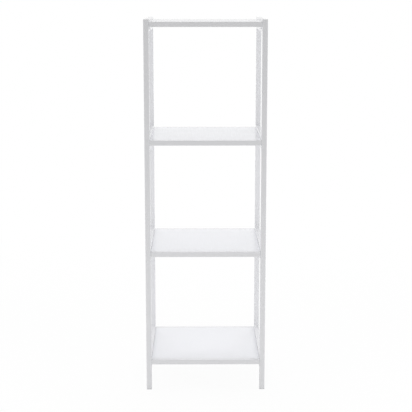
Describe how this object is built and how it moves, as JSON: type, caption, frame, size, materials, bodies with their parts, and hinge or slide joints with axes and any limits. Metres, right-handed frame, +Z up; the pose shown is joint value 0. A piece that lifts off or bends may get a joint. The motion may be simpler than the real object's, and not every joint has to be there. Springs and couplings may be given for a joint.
{
  "type": "bathroom shelf",
  "caption": "Narrow free-standing bathroom shelf tower: a white square-tube frame with open tiers of flat gloss white panels.",
  "frame": {"origin": "on the floor below the middle of the frame", "axes": "+Z up, the front faces -Y, +X to the right as seen from the front"},
  "size_m": [0.34, 0.33, 1.055],
  "materials": {
    "frame_coat": "white powder coat, gloss",
    "panel_board": "gloss white laminate on board",
    "cap_plastic": "white, satin",
    "foot_plastic": "light grey white, satin",
    "zinc_steel": "bright zinc plate"
  },
  "bodies": {
    "root": {"post_front_left": "frame_coat", "foot_front_left": "foot_plastic", "cap_front_left": "cap_plastic", "post_front_right": "frame_coat", "foot_front_right": "foot_plastic", "cap_front_right": "cap_plastic", "post_rear_left": "frame_coat", "foot_rear_left": "foot_plastic", "cap_rear_left": "cap_plastic", "post_rear_right": "frame_coat", "foot_rear_right": "foot_plastic", "cap_rear_right": "cap_plastic", "tier1_left_rail": "frame_coat", "tier1_right_rail": "frame_coat", "tier1_front_bar": "frame_coat", "tier1_rear_bar": "frame_coat", "tier1_panel": "panel_board", "tier1_bar_plugs": "zinc_steel", "tier1_bar_bolts": "zinc_steel", "tier1_hole_caps": "cap_plastic", "tier1_panel_tabs": "frame_coat", "tier1_panel_screws": "zinc_steel", "tier2_left_rail": "frame_coat", "tier2_right_rail": "frame_coat", "tier2_front_bar": "frame_coat", "tier2_rear_bar": "frame_coat", "tier2_panel": "panel_board", "tier2_bar_plugs": "zinc_steel", "tier2_bar_bolts": "zinc_steel", "tier2_hole_caps": "cap_plastic", "tier2_panel_tabs": "frame_coat", "tier2_panel_screws": "zinc_steel", "tier3_left_rail": "frame_coat", "tier3_right_rail": "frame_coat", "tier3_front_bar": "frame_coat", "tier3_rear_bar": "frame_coat", "tier3_panel": "panel_board", "tier3_bar_plugs": "zinc_steel", "tier3_bar_bolts": "zinc_steel", "tier3_hole_caps": "cap_plastic", "tier3_panel_tabs": "frame_coat", "tier3_panel_screws": "zinc_steel", "tier4_left_rail": "frame_coat", "tier4_right_rail": "frame_coat", "tier4_front_bar": "frame_coat", "tier4_rear_bar": "frame_coat", "tier4_panel": "panel_board", "tier4_bar_plugs": "zinc_steel", "tier4_bar_bolts": "zinc_steel", "tier4_hole_caps": "cap_plastic", "tier4_panel_tabs": "frame_coat", "tier4_panel_screws": "zinc_steel"}
  },
  "joints": []
}
